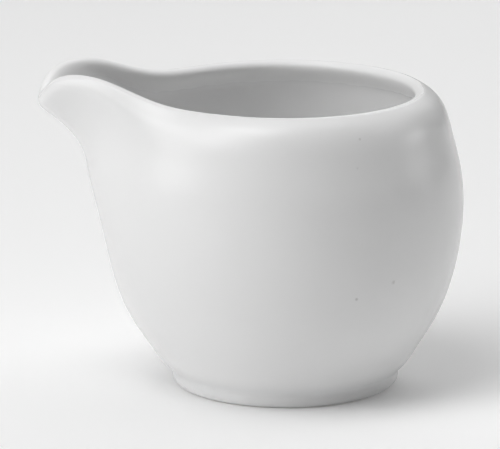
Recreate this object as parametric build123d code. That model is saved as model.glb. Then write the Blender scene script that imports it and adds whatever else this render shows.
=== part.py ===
from build123d import *
import math
import os

import numpy as np

# Porcelain cream jug without a handle.  Millimetres, +Z up, spout towards -X.
# The origin is the centre of the round foot on the plane that it stands on.
# One casting with a pulled spout, coated inside, outside and below with a thin layer of glaze.

# Outline of the glazed outside, from below the foot crease up to the rim:
# height, body radius, and how far the spout side is pulled out of the round.
CREASE_HEIGHT = 3.4
WALL_STATIONS = [
    (2.2, 21.9, 0.0),
    (CREASE_HEIGHT, 22.9, 0.0),
    (5.4, 24.7, 0.3),
    (7.6, 26.1, 0.5),
    (14.5, 30.2, 0.9),
    (24.0, 33.6, 1.0),
    (34.5, 35.1, 1.9),
    (43.5, 34.6, 4.4),
    (51.0, 32.8, 8.4),
    (56.2, 31.0, 15.1),
    (57.8, 29.7, 18.4),
    (59.2, 27.7, 21.1),
]

# The pull is a bell across the width of the jug: narrow at the spout, wide low on the belly.
BELL_WIDTH = [(0.0, 20.0), (0.5, 20.3), (1.0, 14.5)]
BELL_POWER_LOW = 2.2
BELL_POWER_RIM = 2.6
BELL_FRONT = 0.25

# The lip climbs along the spout and dips again at its tip.
LIFT_START = 0.44
LIFT_RISE = 4.5
LIFT_FULL = 0.78
TIP_DIP = 5.7
TIP_DIP_POWER = 12.0

# Glazed wall.  The rim is a quarter round outside; inside, a softer roll runs from its crest
# down to the straight wall, with these lengths of handle at its upper and lower end.
WALL_THICKNESS = 3.2
RIM_ROUND = 1.5
ROLL_START = 0.9
ROLL_RIM_HANDLE = 1.6
ROLL_WALL_HANDLE = 2.2
GLAZE_THICKNESS = 0.3
FLOOR_THICKNESS = 3.0

# The bowl floor is a dish that leaves the wall above the crease and ends in a flat disc.
DISH_START = 0.2
DISH_REACH = 8.0
DISH_SHOULDER = 17.0
DISH_FLAT_RADIUS = 9.0

# Foot ring under the floor: outer and inner radius, and the roundings of its standing edge.
FOOT_RADIUS = 22.4
FOOT_HOLLOW_RADIUS = 19.0
FOOT_OUTER_ROUND = 1.8
FOOT_INNER_ROUND = 1.0
FOOT_NECK_HEIGHT = 2.2

# How finely the swept skin is sampled, and how far the samples crowd round the spout.
AROUND = 64
CROWDING = 0.6
OUTSIDE_SECTIONS = 19
INSIDE_SECTIONS = 17
RIM_SECTIONS = 3
ROLL_SECTIONS = 6
DISH_SECTIONS = 7
PARTING_REACH = 0.8
STEP = 1e-4
BISECTIONS = 40


def spline_through(points):
    """Returns the natural cubic curve through (position, value) points as a function."""
    x = np.array([p[0] for p in points], float)
    y = np.array([p[1] for p in points], float)
    gap = np.diff(x)
    slope = np.diff(y) / gap
    count = len(x)
    system = np.eye(count)
    right = np.zeros(count)
    for i in range(1, count - 1):
        system[i, i - 1] = gap[i - 1]
        system[i, i] = 2 * (gap[i - 1] + gap[i])
        system[i, i + 1] = gap[i]
        right[i] = 6 * (slope[i] - slope[i - 1])
    bend = np.linalg.solve(system, right)

    def value(at):
        i = min(max(int(np.searchsorted(x, at)) - 1, 0), count - 2)
        low = (x[i + 1] - at) / gap[i]
        high = (at - x[i]) / gap[i]
        curve = (low**3 - low) * bend[i] + (high**3 - high) * bend[i + 1]
        return low * y[i] + high * y[i + 1] + curve * gap[i] ** 2 / 6

    return value


def ease(value):
    """Rises smoothly from 0 to 1 as the value does."""
    v = min(max(value, 0.0), 1.0)
    return v**3 * (10 + v * (6 * v - 15))


# Position along the wall, 0 at the crease and 1 at the rim, by the length of the back profile.
lengths = [0.0]
for low, high in zip(WALL_STATIONS, WALL_STATIONS[1:]):
    lengths.append(lengths[-1] + math.hypot(high[0] - low[0], high[1] - low[1]))
crease = lengths[1]
along = [(length - crease) / (lengths[-1] - crease) for length in lengths]
LOWEST = along[0]

height_at = spline_through([(t, s[0]) for t, s in zip(along, WALL_STATIONS)])
radius_at = spline_through([(t, s[1]) for t, s in zip(along, WALL_STATIONS)])
pull_at = spline_through([(t, s[2]) for t, s in zip(along, WALL_STATIONS)])
width_at = spline_through(BELL_WIDTH)


def bell_at(t, turn):
    """Share of the pull that a point takes: 1 in the middle of the spout, 0 behind."""
    up = max(t, 0.0)
    across = abs(radius_at(t) * math.sin(turn))
    power = BELL_POWER_LOW + (BELL_POWER_RIM - BELL_POWER_LOW) * up
    bell = math.exp(-((across / width_at(up)) ** power))
    return bell * ease(0.5 + 0.5 * math.cos(turn) / BELL_FRONT)


def skin_point(t, turn):
    """A point of the glazed outside; turn is measured from the spout."""
    radius = radius_at(t)
    across = radius * math.sin(turn)
    bell = bell_at(t, turn)
    reach = radius * math.cos(turn) + max(pull_at(t), 0.0) * bell
    lift = LIFT_RISE * ease(bell / LIFT_FULL) - TIP_DIP * bell**TIP_DIP_POWER
    lift *= ease((t - LIFT_START) / (1 - LIFT_START))
    return np.array([-reach, across, height_at(t) + lift])


def skin_frame(t, turn):
    """A point of the outside, its outward normal and the direction up the wall."""
    up = skin_point(t + STEP, turn) - skin_point(t - STEP, turn)
    across = skin_point(t, turn - STEP) - skin_point(t, turn + STEP)
    normal = np.cross(across, up)
    normal /= np.linalg.norm(normal)
    climb = np.cross(normal, across)
    climb /= np.linalg.norm(climb)
    return skin_point(t, turn), normal, climb


def wall_point(t, turn, depth):
    """A point at a depth below the glazed outside."""
    point, normal, _ = skin_frame(t, turn)
    return point - depth * normal


# Sample directions, closer together round the spout; the seam is at the back.
turns = []
for k in range(AROUND):
    s = 2 * k / AROUND - 1
    turns.append(math.pi * ((1 - CROWDING) * s + CROWDING * s**3))


def closed_curve(points):
    places = [k / AROUND for k in range(AROUND + 1)]
    corners = [Vector(*p) for p in points]
    return Edge.make_spline(corners, periodic=True, parameters=places)


def outer_section(t, inset):
    """Section of the outside of the wall, sunk below the glazed surface by inset."""
    return [wall_point(t, turn, inset) for turn in turns]


def crease_section(inset):
    """Level section at the height of the crease of the outside sunk by inset."""
    section = []
    for turn in turns:
        low, high = LOWEST, along[2]
        for _ in range(BISECTIONS):
            middle = (low + high) / 2
            sunk = wall_point(middle, turn, inset)
            if sunk[2] < CREASE_HEIGHT:
                low = middle
            else:
                high = middle
        section.append(np.array([sunk[0], sunk[1], CREASE_HEIGHT]))
    return section


def bezier(share, points):
    """A point of the cubic curve with these four control points."""
    left = 1 - share
    weights = (left**3, 3 * left**2 * share, 3 * left * share**2, share**3)
    return sum(weight * point for weight, point in zip(weights, points))


def rim_point(angle, turn, inset):
    """A point of the quarter round outside the rim: 0 at its foot, 90 degrees on the crest."""
    point, normal, climb = skin_frame(1.0, turn)
    arm = math.cos(angle) * normal + math.sin(angle) * climb
    return point - RIM_ROUND * normal + (RIM_ROUND - inset) * arm


def rim_section(angle, inset):
    return [rim_point(angle, turn, inset) for turn in turns]


def roll_section(share, inset):
    """Section of the inner roll of the rim: share 0 on the crest, share 1 on the wall."""
    depth = WALL_THICKNESS - inset
    section = []
    for turn in turns:
        crest = rim_point(math.pi / 2, turn, inset)
        _, rim_normal, _ = skin_frame(1.0, turn)
        end = wall_point(ROLL_START, turn, depth)
        upward = end - wall_point(ROLL_START - STEP, turn, depth)
        upward /= np.linalg.norm(upward)
        handles = (crest - ROLL_RIM_HANDLE * rim_normal, end + ROLL_WALL_HANDLE * upward)
        section.append(bezier(share, (crest, *handles, end)))
    return section


def inner_section(share, inset):
    """Section of the inside of the wall: share 0 at the rim roll, share 1 at the dish."""
    t = ROLL_START + share * (DISH_START - ROLL_START)
    return [wall_point(t, turn, WALL_THICKNESS - inset) for turn in turns]


def dish_section(share, inset):
    """Section of the floor dish: share 0 leaves the inner wall, share 1 is the flat disc."""
    depth = WALL_THICKNESS - inset
    level = np.array([0.0, 0.0, CREASE_HEIGHT + FLOOR_THICKNESS - inset])
    section = []
    for turn in turns:
        start = wall_point(DISH_START, turn, depth)
        downward = wall_point(DISH_START - STEP, turn, depth) - start
        downward /= np.linalg.norm(downward)
        out = np.array([start[0], start[1], 0.0]) / math.hypot(start[0], start[1])
        handles = (start + DISH_REACH * downward, level + DISH_SHOULDER * out)
        section.append(bezier(share, (start, *handles, level + DISH_FLAT_RADIUS * out)))
    return section


def vessel(inset):
    """The solid wall and floor, everywhere sunk by inset below the glazed surface."""
    sections = [crease_section(inset)]
    for k in range(1, OUTSIDE_SECTIONS + 1):
        sections.append(outer_section(k / OUTSIDE_SECTIONS, inset))
    for k in range(1, RIM_SECTIONS + 1):
        sections.append(rim_section(math.pi / 2 * k / RIM_SECTIONS, inset))
    for k in range(1, ROLL_SECTIONS):
        sections.append(roll_section(k / ROLL_SECTIONS, inset))
    for k in range(INSIDE_SECTIONS):
        sections.append(inner_section(k / (INSIDE_SECTIONS - 1), inset))
    for k in range(1, DISH_SECTIONS + 1):
        sections.append(dish_section(k / DISH_SECTIONS, inset))
    return Solid.make_loft([Wire([closed_curve(section)]) for section in sections])


def rim_parting():
    """A ruled band through the crest of the rim, from inside the wall to above the glaze."""
    inside = closed_curve(rim_section(math.pi / 2, PARTING_REACH))
    above = closed_curve(rim_section(math.pi / 2, -PARTING_REACH))
    return Face.make_surface_from_curves(inside, above)


def foot():
    """The standing ring, turned from its half section."""
    low = FOOT_OUTER_ROUND
    outer = ThreePointArc(
        (FOOT_RADIUS, low),
        (FOOT_RADIUS - low * (1 - math.sqrt(0.5)), low * (1 - math.sqrt(0.5))),
        (FOOT_RADIUS - low, 0),
    )
    inner_low = FOOT_INNER_ROUND
    inner = ThreePointArc(
        (FOOT_HOLLOW_RADIUS + inner_low, 0),
        (FOOT_HOLLOW_RADIUS + inner_low * (1 - math.sqrt(0.5)), inner_low * (1 - math.sqrt(0.5))),
        (FOOT_HOLLOW_RADIUS, inner_low),
    )
    crease_radius = WALL_STATIONS[1][1]
    neck = TangentArc(
        (FOOT_RADIUS, FOOT_NECK_HEIGHT), (crease_radius, CREASE_HEIGHT), tangent=(0, 1)
    )
    side = Line((FOOT_RADIUS, low), (FOOT_RADIUS, FOOT_NECK_HEIGHT))
    stand = Line((FOOT_RADIUS - low, 0), (FOOT_HOLLOW_RADIUS + inner_low, 0))
    hollow = Line((FOOT_HOLLOW_RADIUS, inner_low), (FOOT_HOLLOW_RADIUS, CREASE_HEIGHT))
    top = Line((FOOT_HOLLOW_RADIUS, CREASE_HEIGHT), (crease_radius, CREASE_HEIGHT))
    half = make_face([outer, stand, inner, hollow, top, neck, side])
    return revolve(Plane.XZ * half, Axis.Z)


glazed = vessel(0.0)
porcelain_body = vessel(GLAZE_THICKNESS)
coat = glazed - porcelain_body
outer_glaze, liner_glaze = sorted(
    coat.solids()[0].split(rim_parting(), keep=Keep.ALL).solids(),
    key=lambda piece: piece.bounding_box().min.Z,
)
foot_ring = foot()
base_glaze = Pos(0, 0, CREASE_HEIGHT - GLAZE_THICKNESS / 2) * Cylinder(
    FOOT_HOLLOW_RADIUS, GLAZE_THICKNESS
)

parts = {
    "porcelain_body": porcelain_body,
    "foot_ring": foot_ring,
    "outer_glaze": outer_glaze,
    "liner_glaze": liner_glaze,
    "base_glaze": base_glaze,
}

os.makedirs("parts", exist_ok=True)
for name, shape in parts.items():
    export_step(shape, f"parts/{name}.step")
    box = shape.bounding_box()
    print(name, round(shape.volume, 1), shape.is_valid, box.min, box.max)
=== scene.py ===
import math

import bpy
import numpy as np
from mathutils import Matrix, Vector


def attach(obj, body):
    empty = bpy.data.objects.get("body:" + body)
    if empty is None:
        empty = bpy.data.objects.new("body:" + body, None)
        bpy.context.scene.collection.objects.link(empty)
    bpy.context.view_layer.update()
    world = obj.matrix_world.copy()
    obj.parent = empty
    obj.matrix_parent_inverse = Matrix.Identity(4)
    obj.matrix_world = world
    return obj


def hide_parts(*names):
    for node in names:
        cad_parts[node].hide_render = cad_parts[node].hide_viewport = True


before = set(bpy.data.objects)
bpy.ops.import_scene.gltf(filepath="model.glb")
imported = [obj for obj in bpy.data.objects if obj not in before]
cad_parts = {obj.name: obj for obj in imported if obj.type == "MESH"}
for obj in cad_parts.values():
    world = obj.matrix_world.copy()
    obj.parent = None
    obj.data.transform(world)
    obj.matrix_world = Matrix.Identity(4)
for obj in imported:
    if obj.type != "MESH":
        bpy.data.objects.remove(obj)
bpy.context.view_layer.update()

# Porcelain cream jug. Blender works in metres; the shape below is written in millimetres.
# The glaze is one continuous coat from the foot, up the belly, over the rim and down inside,
# so it is one piece here. The cast body lies under it, and the foot shows a bare standing edge.

MM = 0.001

# Outline of the glazed outside: height, body radius, pull of the spout side.
CREASE_HEIGHT = 3.4
WALL_STATIONS = [
    (2.2, 21.9, 0.0),
    (CREASE_HEIGHT, 22.9, 0.0),
    (5.4, 24.7, 0.3),
    (7.6, 26.1, 0.5),
    (14.5, 30.2, 0.9),
    (24.0, 33.6, 1.0),
    (34.5, 35.1, 1.9),
    (43.5, 34.6, 4.4),
    (51.0, 32.8, 8.4),
    (56.2, 31.0, 15.1),
    (57.8, 29.7, 18.4),
    (59.2, 27.7, 21.1),
]
BELL_WIDTH = [(0.0, 20.0), (0.5, 20.3), (1.0, 14.5)]
BELL_POWER_LOW = 2.2
BELL_POWER_RIM = 2.6
BELL_FRONT = 0.25
LIFT_START = 0.44
LIFT_RISE = 4.5
LIFT_FULL = 0.78
TIP_DIP = 5.7
TIP_DIP_POWER = 12.0
WALL_THICKNESS = 3.2
RIM_ROUND = 1.5
ROLL_START = 0.9
ROLL_RIM_HANDLE = 1.6
ROLL_WALL_HANDLE = 2.2
GLAZE_THICKNESS = 0.3
FLOOR_THICKNESS = 3.0
DISH_START = 0.2
DISH_REACH = 8.0
DISH_SHOULDER = 17.0
DISH_FLAT_RADIUS = 9.0
FOOT_RADIUS = 22.4
FOOT_HOLLOW_RADIUS = 19.0
FOOT_OUTER_ROUND = 1.8
FOOT_INNER_ROUND = 1.0
FOOT_NECK_HEIGHT = 2.2
CROWDING = 0.6
STEP = 1e-4

# Mesh density.
AROUND = 320
ARC_STEPS = 12
BARE_EDGE_STEPS = 6
OUTSIDE_RINGS = 96
FOOT_RINGS = 14
NECK_RINGS = 7
RIM_RINGS = 12
ROLL_RINGS = 22
INSIDE_RINGS = 72
DISH_RINGS = 22
FLAT_RINGS = 6


def spline_through(points):
    """Returns the natural cubic curve through (position, value) points as a function."""
    x = np.array([p[0] for p in points], float)
    y = np.array([p[1] for p in points], float)
    gap = np.diff(x)
    slope = np.diff(y) / gap
    count = len(x)
    system = np.eye(count)
    right = np.zeros(count)
    for i in range(1, count - 1):
        system[i, i - 1] = gap[i - 1]
        system[i, i] = 2 * (gap[i - 1] + gap[i])
        system[i, i + 1] = gap[i]
        right[i] = 6 * (slope[i] - slope[i - 1])
    bend = np.linalg.solve(system, right)

    def value(at):
        i = min(max(int(np.searchsorted(x, at)) - 1, 0), count - 2)
        low = (x[i + 1] - at) / gap[i]
        high = (at - x[i]) / gap[i]
        curve = (low**3 - low) * bend[i] + (high**3 - high) * bend[i + 1]
        return low * y[i] + high * y[i + 1] + curve * gap[i] ** 2 / 6

    return value


def ease(value):
    """Rises smoothly from 0 to 1 as the value does."""
    v = np.clip(value, 0.0, 1.0)
    return v**3 * (10 + v * (6 * v - 15))


lengths = [0.0]
for low, high in zip(WALL_STATIONS, WALL_STATIONS[1:]):
    lengths.append(lengths[-1] + math.hypot(high[0] - low[0], high[1] - low[1]))
along = [(length - lengths[1]) / (lengths[-1] - lengths[1]) for length in lengths]

height_at = spline_through([(t, s[0]) for t, s in zip(along, WALL_STATIONS)])
radius_at = spline_through([(t, s[1]) for t, s in zip(along, WALL_STATIONS)])
pull_at = spline_through([(t, s[2]) for t, s in zip(along, WALL_STATIONS)])
width_at = spline_through(BELL_WIDTH)

# Directions round the jug, measured from the spout and closer together there.
spread = 2 * np.arange(AROUND) / AROUND - 1
TURNS = math.pi * ((1 - CROWDING) * spread + CROWDING * spread**3)


def bell_at(t, turn):
    """Share of the pull that a point takes: 1 in the middle of the spout, 0 behind."""
    up = max(t, 0.0)
    across = np.abs(radius_at(t) * np.sin(turn))
    power = BELL_POWER_LOW + (BELL_POWER_RIM - BELL_POWER_LOW) * up
    return np.exp(-((across / width_at(up)) ** power)) * ease(0.5 + 0.5 * np.cos(turn) / BELL_FRONT)


def skin_points(t, turn):
    """Points of the glazed outside at one position up the wall."""
    radius = radius_at(t)
    bell = bell_at(t, turn)
    reach = radius * np.cos(turn) + max(pull_at(t), 0.0) * bell
    lift = LIFT_RISE * ease(bell / LIFT_FULL) - TIP_DIP * bell**TIP_DIP_POWER
    lift = lift * ease((t - LIFT_START) / (1 - LIFT_START))
    return np.stack([-reach, radius * np.sin(turn), height_at(t) + lift], -1)


def unit(vectors):
    return vectors / np.linalg.norm(vectors, axis=-1, keepdims=True)


def skin_frame(t, turn=TURNS):
    """Points of the outside, their outward normals and the directions up the wall."""
    up = skin_points(t + STEP, turn) - skin_points(t - STEP, turn)
    across = skin_points(t, turn - STEP) - skin_points(t, turn + STEP)
    normal = unit(np.cross(across, up))
    return skin_points(t, turn), normal, unit(np.cross(normal, across))


def wall_ring(t, depth):
    """Ring at a depth below the glazed outside."""
    point, normal, _ = skin_frame(t)
    return point - depth * normal


def bezier(share, points):
    """Ring of the cubic curves with these four rings of control points."""
    left = 1 - share
    weights = (left**3, 3 * left**2 * share, 3 * left * share**2, share**3)
    return sum(weight * point for weight, point in zip(weights, points))


def rim_ring(angle, inset):
    """Ring of the quarter round outside the rim: 0 at its foot, 90 degrees on the crest."""
    point, normal, climb = skin_frame(1.0)
    arm = math.cos(angle) * normal + math.sin(angle) * climb
    return point - RIM_ROUND * normal + (RIM_ROUND - inset) * arm


def roll_ring(share, inset):
    """Ring of the inner roll of the rim: share 0 on the crest, share 1 on the wall."""
    depth = WALL_THICKNESS - inset
    crest = rim_ring(math.pi / 2, inset)
    _, rim_normal, _ = skin_frame(1.0)
    end = wall_ring(ROLL_START, depth)
    upward = unit(end - wall_ring(ROLL_START - STEP, depth))
    handles = (crest - ROLL_RIM_HANDLE * rim_normal, end + ROLL_WALL_HANDLE * upward)
    return bezier(share, (crest, *handles, end))


def dish_ring(share, inset):
    """Ring of the floor dish: share 0 leaves the inner wall, share 1 is the flat disc."""
    depth = WALL_THICKNESS - inset
    level = np.array([0.0, 0.0, CREASE_HEIGHT + FLOOR_THICKNESS - inset])
    start = wall_ring(DISH_START, depth)
    downward = unit(wall_ring(DISH_START - STEP, depth) - start)
    out = unit(start * [1, 1, 0])
    handles = (start + DISH_REACH * downward, level + DISH_SHOULDER * out)
    return bezier(share, (start, *handles, level + DISH_FLAT_RADIUS * out))


def flat_ring(share, inset):
    """Ring of the flat disc in the middle of the floor, share 1 at its edge."""
    level = np.array([0.0, 0.0, CREASE_HEIGHT + FLOOR_THICKNESS - inset])
    out = unit(wall_ring(DISH_START, WALL_THICKNESS - inset) * [1, 1, 0])
    return level + share * DISH_FLAT_RADIUS * out


def round_ring(radius, height):
    return np.stack(
        [-radius * np.cos(TURNS), radius * np.sin(TURNS), np.full(AROUND, height)], -1
    )


def make_object(name, vertices, faces):
    mesh = bpy.data.meshes.new(name)
    mesh.from_pydata([tuple(v) for v in np.asarray(vertices) * MM], [], faces)
    mesh.validate()
    mesh.polygons.foreach_set("use_smooth", [True] * len(mesh.polygons))
    mesh.update()
    piece = bpy.data.objects.new(name, mesh)
    bpy.context.scene.collection.objects.link(piece)
    return piece


def ring_faces(first, second):
    """Quads between two rings, given their first vertex numbers."""
    faces = []
    for k in range(AROUND):
        n = (k + 1) % AROUND
        faces.append((first + k, first + n, second + n, second + k))
    return faces


def fan_faces(first, centre):
    return [(first + k, first + (k + 1) % AROUND, centre) for k in range(AROUND)]


# ---------------------------------------------------------------------------
# The glaze coat
# ---------------------------------------------------------------------------

# The glaze stops this far round the lower edge of the foot, in degrees below its side.
GLAZE_LINE = -62
CREASE_RADIUS = WALL_STATIONS[1][1]
# Height over which the colour turns darker and slightly bluish in a band along the crease above the
# foot.
CREASE_BAND_REACH = 0.9


def foot_side_rings(inset):
    """Rings up the glazed side of the foot, from the glaze line to just under the crease."""
    rings = []
    reach = FOOT_OUTER_ROUND - inset
    centre = FOOT_RADIUS - FOOT_OUTER_ROUND
    for k in range(FOOT_RINGS + 1):
        angle = math.radians(GLAZE_LINE) * (1 - k / FOOT_RINGS)
        radius = centre + reach * math.cos(angle)
        rings.append(round_ring(radius, FOOT_OUTER_ROUND + reach * math.sin(angle)))
    rings.append(round_ring(FOOT_RADIUS - inset, FOOT_NECK_HEIGHT))
    across = CREASE_RADIUS - FOOT_RADIUS
    rise = CREASE_HEIGHT - FOOT_NECK_HEIGHT
    neck_radius = (across**2 + rise**2) / (2 * across)
    for k in range(1, NECK_RINGS):
        angle = math.asin(rise / neck_radius) * k / NECK_RINGS
        radius = FOOT_RADIUS + neck_radius * (1 - math.cos(angle))
        rings.append(round_ring(radius - inset, FOOT_NECK_HEIGHT + neck_radius * math.sin(angle)))
    return rings


def coat_rings(inset):
    """All rings of the coat from the glaze line to the middle of the floor."""
    rings = foot_side_rings(inset)
    marks = ["foot"] * len(rings)
    for k in range(OUTSIDE_RINGS + 1):
        rings.append(wall_ring(k / OUTSIDE_RINGS, inset))
        marks.append("wall")
    for k in range(1, RIM_RINGS + 1):
        rings.append(rim_ring(math.pi / 2 * k / RIM_RINGS, inset))
        marks.append("rim")
    for k in range(1, ROLL_RINGS):
        rings.append(roll_ring(k / ROLL_RINGS, inset))
        marks.append("rim")
    for k in range(INSIDE_RINGS + 1):
        t = ROLL_START + (DISH_START - ROLL_START) * k / INSIDE_RINGS
        rings.append(wall_ring(t, WALL_THICKNESS - inset))
        marks.append("inside")
    for k in range(1, DISH_RINGS + 1):
        rings.append(dish_ring(k / DISH_RINGS, inset))
        marks.append("dish")
    for k in range(1, FLAT_RINGS):
        rings.append(flat_ring(1 - k / FLAT_RINGS, inset))
        marks.append("dish")
    return rings, marks


def glaze_marks(rings, marks):
    """Per ring: a mark over the rim, where the glaze is thinner and rougher and its colour is
    lightened as painted light, and a mark for a darker, slightly bluish band along the crease above
    the foot.
    """
    first_rim = marks.index("rim")
    rim_count = marks.count("rim")
    thin_glaze_and_painted_light = []
    crease_band = []
    for i, (ring, mark) in enumerate(zip(rings, marks)):
        rim_share = (i - first_rim + 1) / rim_count
        thin_glaze_and_painted_light.append(math.sin(math.pi * rim_share) ** 2 if mark == "rim" else 0.0)
        above_crease = (ring[0, 2] - CREASE_HEIGHT) / CREASE_BAND_REACH
        crease_band.append(math.exp(-(above_crease**2)) if mark in ("foot", "wall") else 0.0)
    return thin_glaze_and_painted_light, crease_band


def build_coat():
    """Closed shell: the seen surface, the surface against the body, and the edge at the foot."""
    front, marks = coat_rings(0.0)
    back, _ = coat_rings(GLAZE_THICKNESS)
    floor = CREASE_HEIGHT + FLOOR_THICKNESS
    centres = np.array([[0, 0, floor], [0, 0, floor - GLAZE_THICKNESS]])
    vertices = np.concatenate([*front, *back, centres])
    count = len(front)
    faces = []
    for i in range(count - 1):
        faces += ring_faces(i * AROUND, (i + 1) * AROUND)
        low = (count + i) * AROUND
        faces += ring_faces(low + AROUND, low)
    faces += fan_faces((count - 1) * AROUND, 2 * count * AROUND)
    for a, b, c in fan_faces((2 * count - 1) * AROUND, 2 * count * AROUND + 1):
        faces.append((b, a, c))
    faces += ring_faces(count * AROUND, 0)
    coat = make_object("glaze_coat", vertices, faces)

    # The glaze material reads these.
    thin_glaze_and_painted_light, crease_band = glaze_marks(front, marks)
    for name, values in (("rim_thin_glaze_and_painted_light", thin_glaze_and_painted_light), ("crease_band_mark", crease_band)):
        layer = coat.data.attributes.new(name, "FLOAT", "POINT")
        column = np.repeat(np.array(values + values), AROUND)
        layer.data.foreach_set("value", np.concatenate([column, [0.0, 0.0]]))
    return coat


def build_lathe(name, outline):
    """Closed ring turned about Z from a closed outline of (radius, height) points."""
    rings = [round_ring(radius, height) for radius, height in outline]
    faces = []
    for i in range(len(rings)):
        faces += ring_faces(i * AROUND, ((i + 1) % len(rings)) * AROUND)
    return make_object(name, np.concatenate(rings), faces)


def build_cap(name, outline):
    """Closed disc turned about Z from an outline that starts and ends on the axis."""
    rings = [round_ring(radius, height) for radius, height in outline[1:-1]]
    vertices = np.concatenate(rings + [[[0, 0, outline[0][1]]], [[0, 0, outline[-1][1]]]])
    first_centre = len(rings) * AROUND
    faces = []
    for i in range(len(rings) - 1):
        faces += ring_faces(i * AROUND, (i + 1) * AROUND)
    for a, b, c in fan_faces(0, first_centre):
        faces.append((b, a, c))
    faces += fan_faces((len(rings) - 1) * AROUND, first_centre + 1)
    return make_object(name, vertices, faces)


def arc(centre, radius, start, end, steps):
    """Points of an arc in the half section, angles in degrees."""
    points = []
    for k in range(steps + 1):
        angle = math.radians(start + (end - start) * k / steps)
        points.append((centre[0] + radius * math.cos(angle), centre[1] + radius * math.sin(angle)))
    return points


# Half way ring on the wall of the hollow inside the foot.
HOLLOW_RING_HEIGHT = 2.2


def foot_outline():
    """The foot ring: bare at its standing edge, under the glaze above that."""
    low = FOOT_OUTER_ROUND
    inner_low = FOOT_INNER_ROUND
    centre = (FOOT_RADIUS - low, low)
    outline = [(FOOT_HOLLOW_RADIUS, CREASE_HEIGHT), (FOOT_HOLLOW_RADIUS, HOLLOW_RING_HEIGHT)]
    outline += arc((FOOT_HOLLOW_RADIUS + inner_low, inner_low), inner_low, 180, 270, ARC_STEPS)
    outline += arc(centre, low, -90, GLAZE_LINE, BARE_EDGE_STEPS)
    outline += arc(centre, low - GLAZE_THICKNESS, GLAZE_LINE, 0, ARC_STEPS)
    under_glaze = FOOT_RADIUS - GLAZE_THICKNESS
    outline += [(under_glaze, FOOT_NECK_HEIGHT), (under_glaze, CREASE_HEIGHT)]
    return outline


MENISCUS = 0.9
HOLLOW_GLAZE = 0.2
HOLLOW_GLAZE_LOW = 1.15
HOLLOW_GLAZE_LIP = (-30, -180)
BASE_TOP_RADII = (6.0, 12.0)
BASE_UNDER_RADII = (14.0, 9.0, 4.0)


def base_outline():
    """Glaze under the floor, with its meniscus against the inside of the foot ring."""
    wall = FOOT_HOLLOW_RADIUS
    under = CREASE_HEIGHT - GLAZE_THICKNESS
    face = wall - HOLLOW_GLAZE
    lip_centre = (wall - HOLLOW_GLAZE / 2, HOLLOW_GLAZE_LOW)
    outline = [(radius, CREASE_HEIGHT) for radius in (0, *BASE_TOP_RADII, wall)]
    outline += [(wall, HOLLOW_RING_HEIGHT), (wall, HOLLOW_GLAZE_LOW)]
    outline += arc(lip_centre, HOLLOW_GLAZE / 2, *HOLLOW_GLAZE_LIP, BARE_EDGE_STEPS)
    outline += arc((face - MENISCUS, under - MENISCUS), MENISCUS, 0, 90, ARC_STEPS)
    outline += [(radius, under) for radius in (*BASE_UNDER_RADII, 0)]
    return outline


coat = build_coat()
foot = build_lathe("foot_bisque", foot_outline())
base = build_cap("base_glaze_pool", base_outline())

for piece in (coat, foot, base):
    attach(piece, "root")
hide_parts("outer_glaze", "liner_glaze")
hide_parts("foot_ring")
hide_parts("base_glaze")


# ---------------------------------------------------------------------------
# Materials
# ---------------------------------------------------------------------------

def new_material(name):
    material = bpy.data.materials.new(name)
    material.use_nodes = True
    material.node_tree.nodes.clear()
    return material, material.node_tree


def add_node(tree, kind, **settings):
    node = tree.nodes.new(kind)
    for key, value in settings.items():
        setattr(node, key, value)
    return node


def math_node(tree, operation, first, second=None):
    node = add_node(tree, "ShaderNodeMath", operation=operation)
    for socket, value in zip(node.inputs, (first, second)):
        if value is None:
            continue
        if isinstance(value, (int, float)):
            socket.default_value = value
        else:
            tree.links.new(value, socket)
    return node.outputs[0]


def noise(tree, position, scale, detail=2.0, roughness=0.5):
    node = add_node(tree, "ShaderNodeTexNoise")
    node.inputs["Scale"].default_value = scale
    node.inputs["Detail"].default_value = detail
    node.inputs["Roughness"].default_value = roughness
    tree.links.new(position, node.inputs["Vector"])
    return node.outputs["Fac"]


def mix_colour(tree, factor, first, second):
    node = add_node(tree, "ShaderNodeMix", data_type="RGBA")
    tree.links.new(factor, node.inputs["Factor"])
    for socket, value in ((node.inputs["A"], first), (node.inputs["B"], second)):
        if isinstance(value, tuple):
            socket.default_value = (*value, 1.0)
        else:
            tree.links.new(value, socket)
    return node.outputs["Result"]


def spread_range(tree, value, low, high):
    """Maps 0..1 to low..high."""
    node = add_node(tree, "ShaderNodeMapRange")
    node.inputs["To Min"].default_value = low
    node.inputs["To Max"].default_value = high
    tree.links.new(value, node.inputs["Value"])
    return node.outputs["Result"]


def add_bump(tree, shader, height, strength, distance):
    bump = add_node(tree, "ShaderNodeBump")
    bump.inputs["Strength"].default_value = strength
    bump.inputs["Distance"].default_value = distance
    tree.links.new(height, bump.inputs["Height"])
    tree.links.new(bump.outputs["Normal"], shader.inputs["Normal"])


def add_output(tree, shader):
    output = add_node(tree, "ShaderNodeOutputMaterial")
    tree.links.new(shader.outputs["BSDF"], output.inputs["Surface"])


# Tiny iron specks in the glaze: position up the wall, turn in degrees, radius in mm, strength.
SPECKS = [
    (0.434, 122.5, 0.55, 0.30),
    (0.393, 108.9, 0.42, 0.38),
    (0.914, 111.9, 0.32, 0.25),
    (0.823, 109.6, 0.32, 0.18),
]


def speck_places():
    places = []
    for t, turn, radius, strength in SPECKS:
        place = skin_points(t, np.array([math.radians(-turn)]))[0] * MM
        places.append((place, radius * MM, strength))
    return places


GLAZE_SHADES = ((0.845, 0.845, 0.845), (0.875, 0.875, 0.875))
# Colour that lightens the rim: painted light standing in for the light that falls on the rim.
PAINTED_RIM_LIGHT = (0.93, 0.93, 0.925)
PAINTED_RIM_LIGHT_SHARE = 0.7
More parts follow.
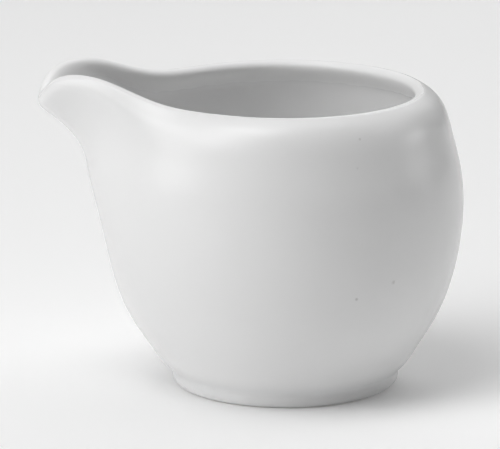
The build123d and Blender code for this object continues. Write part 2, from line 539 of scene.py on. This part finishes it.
# Darker, slightly bluish colour in a band along the crease above the foot.
CREASE_BAND_COLOUR = (0.80, 0.81, 0.815)
CREASE_BAND_SHARE = 0.35
SPECK_COLOUR = (0.33, 0.32, 0.31)
SPECK_HEART = 0.6
SPECK_EDGE = 1.7
GLAZE_ROUGHNESS = (0.23, 0.28)
THIN_ROUGHNESS = 0.16
PEEL_SHARE = 0.12


def add_speck(tree, place, colour, spot, radius, strength):
    """Darkens the colour in a small ragged spot."""
    ragged = noise(tree, place, 1600.0, 1.0)
    away = add_node(tree, "ShaderNodeVectorMath", operation="DISTANCE")
    tree.links.new(place, away.inputs[0])
    away.inputs[1].default_value = tuple(spot)
    reach = math_node(tree, "ADD", away.outputs["Value"], math_node(tree, "MULTIPLY", ragged, radius))
    fade = add_node(tree, "ShaderNodeMapRange", interpolation_type="SMOOTHSTEP")
    fade.inputs["From Min"].default_value = SPECK_HEART * radius
    fade.inputs["From Max"].default_value = SPECK_EDGE * radius
    fade.inputs["To Min"].default_value = strength
    fade.inputs["To Max"].default_value = 0.0
    tree.links.new(reach, fade.inputs["Value"])
    return mix_colour(tree, fade.outputs["Result"], colour, SPECK_COLOUR)


def glaze_material(name, specks):
    """Fired white glaze: glossy, slightly wavy, rougher over the rim with its colour lightened there
    as painted light, darker and slightly bluish in a band along the crease.
    """
    material, tree = new_material(name)
    place = add_node(tree, "ShaderNodeTexCoord").outputs["Object"]
    colour = mix_colour(tree, noise(tree, place, 55.0, 3.0), *GLAZE_SHADES)
    thin_glaze_and_painted_light = add_node(tree, "ShaderNodeAttribute", attribute_name="rim_thin_glaze_and_painted_light").outputs["Fac"]
    crease_band = add_node(tree, "ShaderNodeAttribute", attribute_name="crease_band_mark").outputs["Fac"]
    # Painted light: the rim's colour is lightened to stand in for the light on it; the same mark
    # makes the rim glaze rougher.
    colour = mix_colour(tree, math_node(tree, "MULTIPLY", thin_glaze_and_painted_light, PAINTED_RIM_LIGHT_SHARE), colour, PAINTED_RIM_LIGHT)
    # Darker, slightly bluish band along the crease above the foot.
    colour = mix_colour(tree, math_node(tree, "MULTIPLY", crease_band, CREASE_BAND_SHARE), colour, CREASE_BAND_COLOUR)
    for spot, radius, strength in specks:
        colour = add_speck(tree, place, colour, spot, radius, strength)
    shader = add_node(tree, "ShaderNodeBsdfPrincipled")
    tree.links.new(colour, shader.inputs["Base Color"])
    rough = spread_range(tree, noise(tree, place, 240.0, 2.0), *GLAZE_ROUGHNESS)
    rough = math_node(tree, "ADD", rough, math_node(tree, "MULTIPLY", thin_glaze_and_painted_light, THIN_ROUGHNESS))
    tree.links.new(rough, shader.inputs["Roughness"])
    shader.inputs["IOR"].default_value = 1.5
    wave = noise(tree, place, 130.0, 2.0)
    peel = noise(tree, place, 900.0, 1.0)
    height = math_node(tree, "ADD", wave, math_node(tree, "MULTIPLY", peel, PEEL_SHARE))
    add_bump(tree, shader, height, 0.35, 0.00012)
    add_output(tree, shader)
    return material


BISQUE_SHADES = ((0.80, 0.79, 0.77), (0.85, 0.84, 0.825))
BISQUE_ROUGHNESS = (0.55, 0.75)


def bisque_material(name):
    """Unglazed porcelain: matte, a touch warmer, with a fine tooth."""
    material, tree = new_material(name)
    place = add_node(tree, "ShaderNodeTexCoord").outputs["Object"]
    grain = noise(tree, place, 2600.0, 3.0, 0.6)
    shader = add_node(tree, "ShaderNodeBsdfPrincipled")
    colour = mix_colour(tree, noise(tree, place, 140.0, 2.0), *BISQUE_SHADES)
    tree.links.new(colour, shader.inputs["Base Color"])
    tree.links.new(spread_range(tree, grain, *BISQUE_ROUGHNESS), shader.inputs["Roughness"])
    add_bump(tree, shader, grain, 0.4, 0.00005)
    add_output(tree, shader)
    return material


glaze = glaze_material("glaze", speck_places())
plain_glaze = glaze_material("glaze_base", [])
bisque = bisque_material("bisque")
coat.data.materials.append(glaze)
base.data.materials.append(plain_glaze)
foot.data.materials.append(bisque)
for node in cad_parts.values():
    for slot in node.material_slots:
        slot.material = bisque

# ---------------------------------------------------------------------------
# Floor, light and camera
# ---------------------------------------------------------------------------

FLOOR_REACH = 2.6
FLOOR_BACK = 2.4
FLOOR_SIDE = 2.8
BACKDROP_TOP = 3.0
COVE_RADIUS = 0.5
COVE_STEPS = 24
PAPER_SHADES = ((0.90, 0.90, 0.90), (0.92, 0.92, 0.92))
PAPER_ROUGHNESS = 0.9
PAPER_GLOW = 0.07


def build_backdrop():
    """A pale sheet that lies under the jug and curves up behind it."""
    profile = [(-FLOOR_REACH, 0.0), (FLOOR_BACK, 0.0)]
    profile += arc((FLOOR_BACK, COVE_RADIUS), COVE_RADIUS, -90, 0, COVE_STEPS)[1:]
    profile.append((FLOOR_BACK + COVE_RADIUS, BACKDROP_TOP))
    vertices = []
    for y, z in profile:
        vertices.append((-FLOOR_SIDE, y, z))
        vertices.append((FLOOR_SIDE, y, z))
    faces = []
    for k in range(len(profile) - 1):
        faces.append((2 * k, 2 * k + 1, 2 * k + 3, 2 * k + 2))
    mesh = bpy.data.meshes.new("backdrop")
    mesh.from_pydata(vertices, [], faces)
    mesh.polygons.foreach_set("use_smooth", [True] * len(mesh.polygons))
    sheet = bpy.data.objects.new("backdrop", mesh)
    bpy.context.scene.collection.objects.link(sheet)
    return sheet


def paper_material(name):
    """Matte pale paper that glows a little."""
    material, tree = new_material(name)
    place = add_node(tree, "ShaderNodeTexCoord").outputs["Object"]
    shader = add_node(tree, "ShaderNodeBsdfPrincipled")
    colour = mix_colour(tree, noise(tree, place, 6.0, 2.0), *PAPER_SHADES)
    tree.links.new(colour, shader.inputs["Base Color"])
    shader.inputs["Roughness"].default_value = PAPER_ROUGHNESS
    shader.inputs["Emission Color"].default_value = (1.0, 1.0, 1.0, 1.0)
    shader.inputs["Emission Strength"].default_value = PAPER_GLOW
    add_output(tree, shader)
    return material


backdrop = build_backdrop()
backdrop.data.materials.append(paper_material("pale_paper"))

LOOK_AT = Vector((0.0, 0.0, 0.031))
SOFTBOX_MIDDLE = 4.0
SOFTBOX_FADE_END = 0.5


def direction(azimuth, elevation):
    """Unit vector from the jug: azimuth 0 is the camera's side (-Y), 90 is +X."""
    a = math.radians(azimuth)
    e = math.radians(elevation)
    return Vector((math.sin(a) * math.cos(e), -math.cos(a) * math.cos(e), math.sin(e)))


def add_softbox(name, azimuth, elevation, distance, width, height, power):
    """An area light that is brightest in the middle and fades out towards its edge."""
    light = bpy.data.lights.new(name, "AREA")
    light.shape = "RECTANGLE"
    light.size = width
    light.size_y = height
    light.energy = power
    light.use_nodes = True
    tree = light.node_tree
    across = add_node(tree, "ShaderNodeNewGeometry").outputs["Parametric"]
    away = add_node(tree, "ShaderNodeVectorMath", operation="DISTANCE")
    away.inputs[1].default_value = (0.5, 0.5, 0.0)
    tree.links.new(across, away.inputs[0])
    fade = add_node(tree, "ShaderNodeMapRange", interpolation_type="SMOOTHSTEP")
    fade.inputs["From Min"].default_value = 0.0
    fade.inputs["From Max"].default_value = SOFTBOX_FADE_END
    fade.inputs["To Min"].default_value = SOFTBOX_MIDDLE
    fade.inputs["To Max"].default_value = 0.0
    tree.links.new(away.outputs["Value"], fade.inputs["Value"])
    tree.links.new(fade.outputs["Result"], tree.nodes["Emission"].inputs["Strength"])
    lamp = bpy.data.objects.new(name, light)
    outward = direction(azimuth, elevation)
    lamp.location = LOOK_AT + outward * distance
    lamp.rotation_euler = outward.to_track_quat("Z", "Y").to_euler()
    bpy.context.scene.collection.objects.link(lamp)
    return lamp


# Name, azimuth, elevation, distance, width, height, power.
SOFTBOXES = [
    ("key", -60.0, 36.0, 1.1, 1.3, 1.1, 4.6),
    ("key_high", -60.0, 64.0, 1.1, 1.3, 1.1, 2.2),
    ("key_low", -78.0, 12.0, 1.1, 0.8, 0.44, 1.3),
    ("front_high", -45.0, 68.0, 1.0, 0.8, 0.8, 2.0),
    ("overhead", 180.0, 86.0, 1.0, 1.6, 0.8, 1.9),
    ("right", 95.0, 36.0, 1.1, 1.3, 1.1, 1.0),
    ("right_low", 97.0, 12.0, 1.1, 0.8, 0.44, 0.9),
    ("back_right", 128.0, 52.0, 1.1, 1.3, 1.1, 1.0),
    ("back", 165.0, 36.0, 0.85, 1.2, 0.9, 1.4),
]
for softbox in SOFTBOXES:
    add_softbox(*softbox)

WORLD_STRENGTH = 0.01
world = bpy.data.worlds.new("studio")
bpy.context.scene.world = world
world.use_nodes = True
sky = world.node_tree.nodes["Background"]
sky.inputs["Color"].default_value = (1.0, 1.0, 1.0, 1.0)
sky.inputs["Strength"].default_value = WORLD_STRENGTH

# The camera stands a little towards the spout and looks slightly down, from far off.
CAMERA_AZIMUTH = -4.79
CAMERA_ELEVATION = 13.67
CAMERA_DISTANCE = 1.2
SENSOR_WIDTH = 36.0
IMAGE_WIDTH = 500
PIXELS_PER_METRE = 5051.0
PAN_RIGHT = -0.00706
PAN_UP = 0.00082
CLIP_END = 20.0

camera_data = bpy.data.cameras.new("camera")
camera_data.sensor_width = SENSOR_WIDTH
camera_data.lens = PIXELS_PER_METRE * CAMERA_DISTANCE * SENSOR_WIDTH / IMAGE_WIDTH
camera_data.clip_end = CLIP_END
camera = bpy.data.objects.new("camera", camera_data)
back = direction(CAMERA_AZIMUTH, CAMERA_ELEVATION)
turn_to = back.to_track_quat("Z", "Y")
camera_right = turn_to @ Vector((1, 0, 0))
camera_up = turn_to @ Vector((0, 1, 0))
camera.rotation_euler = turn_to.to_euler()
camera.location = LOOK_AT + back * CAMERA_DISTANCE + camera_right * PAN_RIGHT + camera_up * PAN_UP
bpy.context.scene.collection.objects.link(camera)
bpy.context.scene.camera = camera
bpy.context.scene.view_settings.view_transform = "Standard"
